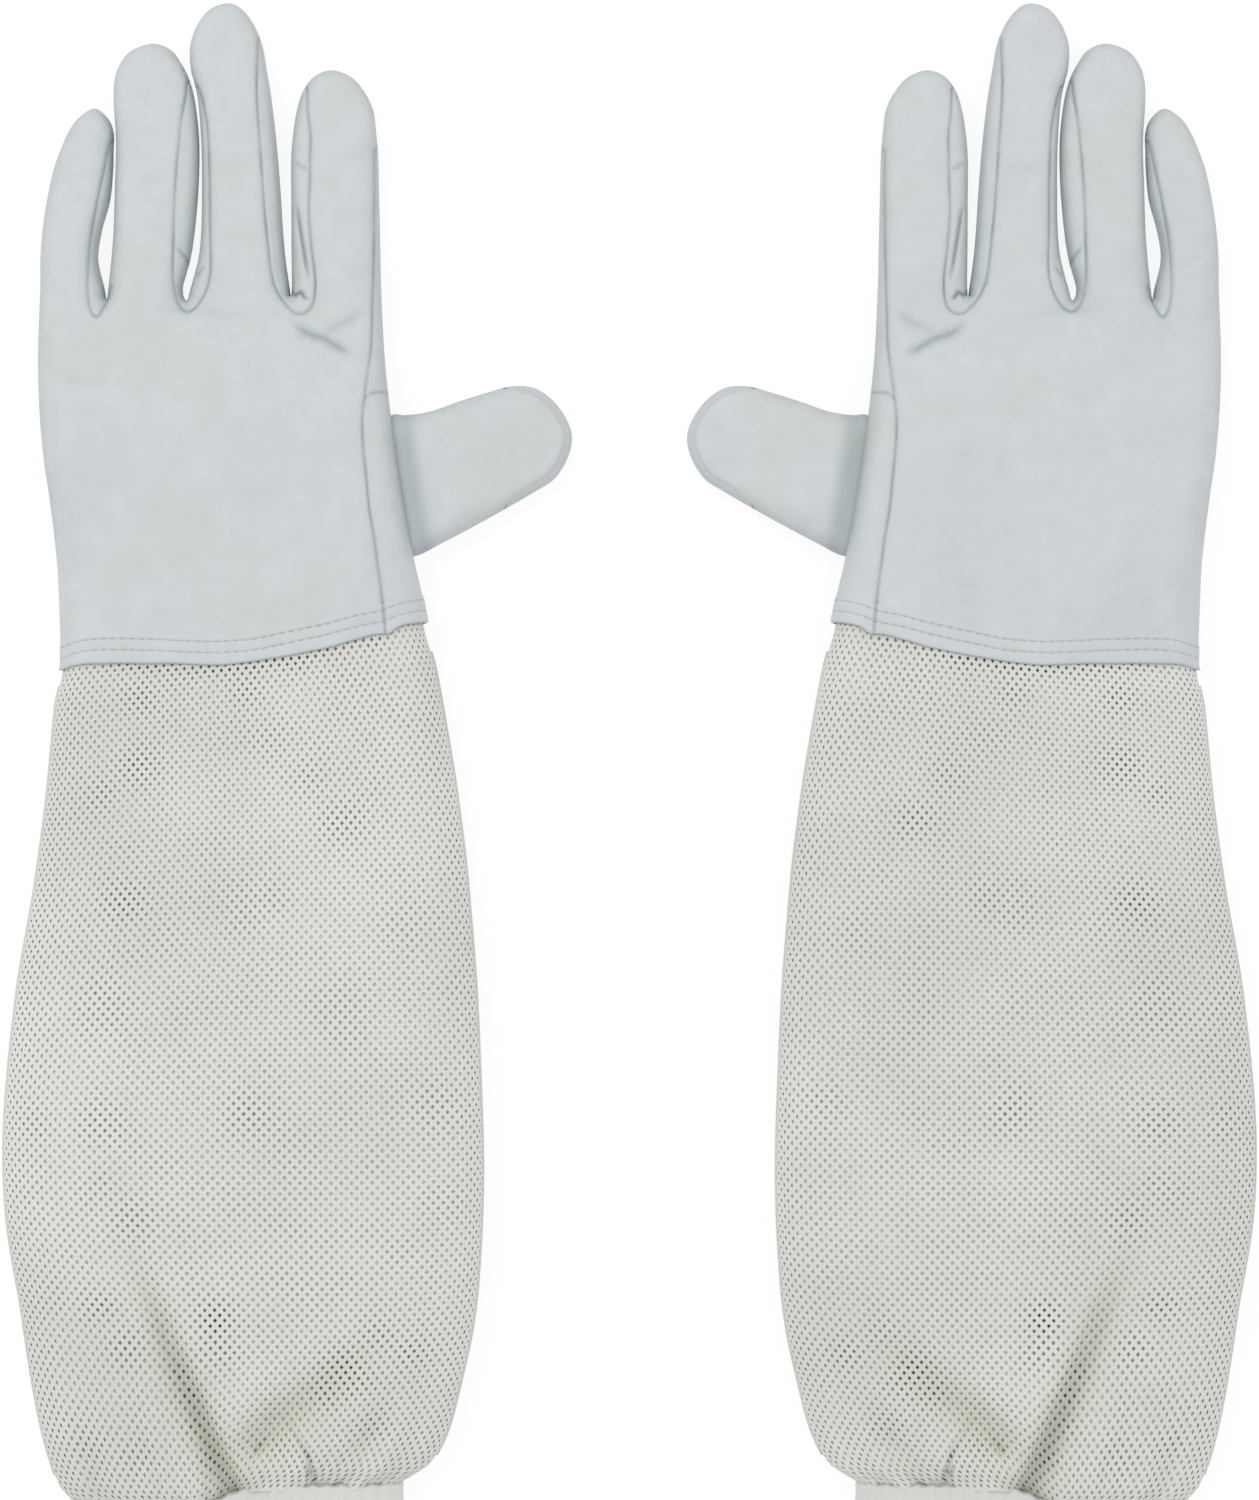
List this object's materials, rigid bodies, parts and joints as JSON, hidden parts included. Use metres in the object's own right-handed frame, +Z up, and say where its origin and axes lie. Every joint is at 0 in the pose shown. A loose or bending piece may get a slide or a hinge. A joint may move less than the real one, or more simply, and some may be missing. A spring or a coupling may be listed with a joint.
{
  "type": "pair of beekeeping gloves",
  "caption": "Pale leather gauntlet gloves with long ventilated net sleeves and elastic cuffs, laid palm down side by side to keep a beekeeper's hands and forearms from stings.",
  "frame": {"origin": "centre of the pair's bounding box on the surface that the gloves lie on", "axes": "+Y along the fingers, +X from the left glove to the right glove, +Z up out of the backs of the hands"},
  "size_m": [0.4218, 0.5145, 0.0326],
  "materials": {
    "leather": "smooth pale grey-white leather with a faint grain",
    "net_fabric": "knitted net with small diagonal holes, matt",
    "spacer_fabric": "coarse open spacer mesh, matt",
    "casing_fabric": "plain woven casing, matt",
    "elastic": "flat woven elastic"
  },
  "bodies": {
    "left_hand": {"left_back_panel": "leather", "left_palm_panel": "leather", "left_side_panel": "leather", "left_cuff_hem": "leather", "left_fork_index_middle": "leather", "left_fork_middle_ring": "leather", "left_fork_ring_little": "leather"},
    "left_index": {"left_index_finger_back": "leather", "left_index_finger_front": "leather", "left_index_inner_strip": "leather", "left_index_outer_strip": "leather"},
    "left_middle": {"left_middle_finger_back": "leather", "left_middle_finger_front": "leather", "left_middle_inner_strip": "leather", "left_middle_outer_strip": "leather"},
    "left_ring": {"left_ring_finger_back": "leather", "left_ring_finger_front": "leather", "left_ring_inner_strip": "leather", "left_ring_outer_strip": "leather"},
    "left_little": {"left_little_finger_back": "leather", "left_little_finger_front": "leather", "left_little_inner_strip": "leather"},
    "left_thumb": {"left_thumb_back": "leather", "left_thumb_front": "leather"},
    "left_sleeve": {"left_sleeve_outer_net": "net_fabric", "left_sleeve_spacer": "spacer_fabric", "left_sleeve_inner_net": "net_fabric", "left_elastic_casing": "casing_fabric", "left_elastic_band": "elastic"},
    "right_hand": {"right_back_panel": "leather", "right_palm_panel": "leather", "right_side_panel": "leather", "right_cuff_hem": "leather", "right_fork_index_middle": "leather", "right_fork_middle_ring": "leather", "right_fork_ring_little": "leather"},
    "right_index": {"right_index_finger_back": "leather", "right_index_finger_front": "leather", "right_index_inner_strip": "leather", "right_index_outer_strip": "leather"},
    "right_middle": {"right_middle_finger_back": "leather", "right_middle_finger_front": "leather", "right_middle_inner_strip": "leather", "right_middle_outer_strip": "leather"},
    "right_ring": {"right_ring_finger_back": "leather", "right_ring_finger_front": "leather", "right_ring_inner_strip": "leather", "right_ring_outer_strip": "leather"},
    "right_little": {"right_little_finger_back": "leather", "right_little_finger_front": "leather", "right_little_inner_strip": "leather"},
    "right_thumb": {"right_thumb_back": "leather", "right_thumb_front": "leather"},
    "right_sleeve": {"right_sleeve_outer_net": "net_fabric", "right_sleeve_spacer": "spacer_fabric", "right_sleeve_inner_net": "net_fabric", "right_elastic_casing": "casing_fabric", "right_elastic_band": "elastic"}
  },
  "joints": [
    {"name": "right_glove_lift", "type": "slide", "parent": "left_hand", "child": "right_hand", "axis": [0, 0, 1], "range_m": [0, 0.25]},
    {"name": "left_index_curl", "type": "hinge", "parent": "left_hand", "child": "left_index", "pos_m": [-0.0985, 0.156, 0], "axis": [-1, 0, 0], "range_deg": [-15, 80]},
    {"name": "left_middle_curl", "type": "hinge", "parent": "left_hand", "child": "left_middle", "pos_m": [-0.1313, 0.156, 0], "axis": [-1, 0, 0], "range_deg": [-15, 80]},
    {"name": "left_ring_curl", "type": "hinge", "parent": "left_hand", "child": "left_ring", "pos_m": [-0.1624, 0.156, 0], "axis": [-1, 0, 0], "range_deg": [-15, 80]},
    {"name": "left_little_curl", "type": "hinge", "parent": "left_hand", "child": "left_little", "pos_m": [-0.1893, 0.156, 0], "axis": [-1, 0, 0], "range_deg": [-15, 80]},
    {"name": "left_thumb_swing", "type": "hinge", "parent": "left_hand", "child": "left_thumb", "pos_m": [-0.0786, 0.1168, 0.0075], "axis": [0, 0, 1], "range_deg": [0, 45]},
    {"name": "left_sleeve_fold", "type": "hinge", "parent": "left_hand", "child": "left_sleeve", "pos_m": [-0.1305, 0.0402, 0.022], "axis": [-0.9934, -0.1149, 0], "range_deg": [0, 90]},
    {"name": "right_index_curl", "type": "hinge", "parent": "right_hand", "child": "right_index", "pos_m": [0.0985, 0.156, 0], "axis": [-1, 0, 0], "range_deg": [-15, 80]},
    {"name": "right_middle_curl", "type": "hinge", "parent": "right_hand", "child": "right_middle", "pos_m": [0.1313, 0.156, 0], "axis": [-1, 0, 0], "range_deg": [-15, 80]},
    {"name": "right_ring_curl", "type": "hinge", "parent": "right_hand", "child": "right_ring", "pos_m": [0.1624, 0.156, 0], "axis": [-1, 0, 0], "range_deg": [-15, 80]},
    {"name": "right_little_curl", "type": "hinge", "parent": "right_hand", "child": "right_little", "pos_m": [0.1893, 0.156, 0], "axis": [-1, 0, 0], "range_deg": [-15, 80]},
    {"name": "right_thumb_swing", "type": "hinge", "parent": "right_hand", "child": "right_thumb", "pos_m": [0.0786, 0.1168, 0.0075], "axis": [0, 0, -1], "range_deg": [0, 45]},
    {"name": "right_sleeve_fold", "type": "hinge", "parent": "right_hand", "child": "right_sleeve", "pos_m": [0.1305, 0.0402, 0.022], "axis": [-0.9934, 0.1149, 0], "range_deg": [0, 90]}
  ]
}
